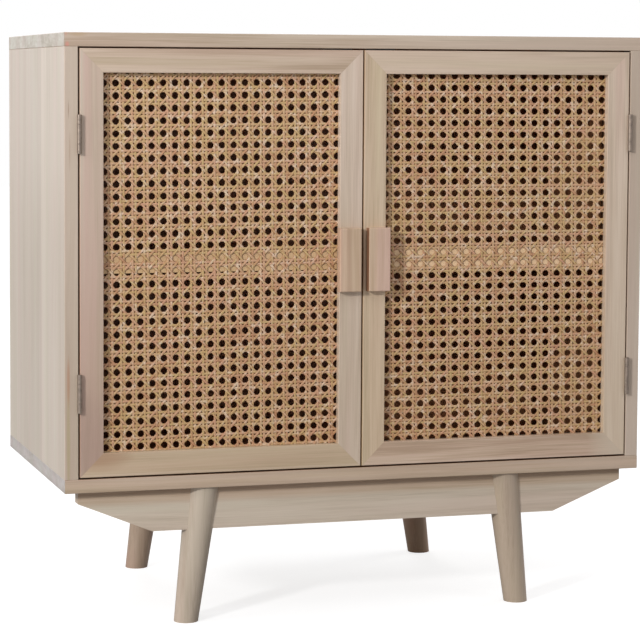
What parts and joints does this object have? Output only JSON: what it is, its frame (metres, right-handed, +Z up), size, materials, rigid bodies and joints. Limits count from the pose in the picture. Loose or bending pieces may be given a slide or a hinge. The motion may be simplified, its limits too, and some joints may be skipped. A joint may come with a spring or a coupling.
{
  "type": "cane-front sideboard",
  "caption": "Low oak sideboard with inset cane-panelled doors on knuckled butt hinges, block handles, an inner shelf, shaped aprons and splayed round tapered legs.",
  "frame": {"origin": "on the floor, under the middle of the box round the closed sideboard with its handles", "axes": "+X along the width, to the right hand of a person facing the doors; -Y is where the doors face; +Z up"},
  "size_m": [0.8, 0.412, 0.77],
  "materials": {
    "carcass_oak": "whitewashed solid oak, satin matt",
    "side_board_oak": "pale whitewashed edge-glued oak boards, satin matt",
    "door_oak": "whitewashed solid oak, satin matt",
    "apron_oak": "whitewashed solid oak, satin matt",
    "leg_oak": "whitewashed turned oak, satin matt",
    "handle_oak": "warm whitewashed oak, satin matt",
    "joinery_beech": "plain beech, unfinished",
    "cane": "natural woven rattan cane webbing, slightly glossy",
    "satin_nickel": "satin nickel plate",
    "catch_plastic": "off-white moulded plastic with a magnet"
  },
  "bodies": {
    "cabinet": {"top_panel": "carcass_oak", "bottom_panel": "carcass_oak", "left_side_panel": "side_board_oak", "right_side_panel": "side_board_oak", "back_panel": "carcass_oak", "back_panel_screws": "satin_nickel", "carcass_dowels": "joinery_beech", "shelf": "carcass_oak", "shelf_pins": "satin_nickel", "front_apron": "apron_oak", "rear_apron": "apron_oak", "apron_screws": "satin_nickel", "front_left_leg": "leg_oak", "front_right_leg": "leg_oak", "rear_left_leg": "leg_oak", "rear_right_leg": "leg_oak", "leg_screws": "satin_nickel", "left_upper_hinge_case_leaf": "satin_nickel", "left_lower_hinge_case_leaf": "satin_nickel", "right_upper_hinge_case_leaf": "satin_nickel", "right_lower_hinge_case_leaf": "satin_nickel", "left_hinge_pins": "satin_nickel", "right_hinge_pins": "satin_nickel", "left_hinge_case_screws": "satin_nickel", "right_hinge_case_screws": "satin_nickel", "left_catch": "catch_plastic", "right_catch": "catch_plastic", "catch_screws": "satin_nickel"},
    "left_door": {"left_hinge_stile": "door_oak", "left_meeting_stile": "door_oak", "left_top_rail": "door_oak", "left_bottom_rail": "door_oak", "left_mitre_keys": "joinery_beech", "left_cane": "cane", "left_upright_beads": "door_oak", "left_cross_beads": "door_oak", "left_batten": "door_oak", "left_handle": "handle_oak", "left_handle_screws": "satin_nickel", "left_strike_plate": "satin_nickel", "left_strike_screws": "satin_nickel", "left_upper_hinge_door_leaf": "satin_nickel", "left_lower_hinge_door_leaf": "satin_nickel", "left_hinge_door_screws": "satin_nickel"},
    "right_door": {"right_hinge_stile": "door_oak", "right_meeting_stile": "door_oak", "right_top_rail": "door_oak", "right_bottom_rail": "door_oak", "right_mitre_keys": "joinery_beech", "right_cane": "cane", "right_upright_beads": "door_oak", "right_cross_beads": "door_oak", "right_batten": "door_oak", "right_handle": "handle_oak", "right_handle_screws": "satin_nickel", "right_strike_plate": "satin_nickel", "right_strike_screws": "satin_nickel", "right_upper_hinge_door_leaf": "satin_nickel", "right_lower_hinge_door_leaf": "satin_nickel", "right_hinge_door_screws": "satin_nickel"}
  },
  "joints": [
    {"name": "left_door_hinge", "type": "hinge", "parent": "cabinet", "child": "left_door", "pos_m": [-0.381, -0.1973, 0.475], "axis": [0, 0, -1], "range_deg": [0, 180]},
    {"name": "right_door_hinge", "type": "hinge", "parent": "cabinet", "child": "right_door", "pos_m": [0.381, -0.1973, 0.475], "axis": [0, 0, 1], "range_deg": [0, 180]}
  ]
}
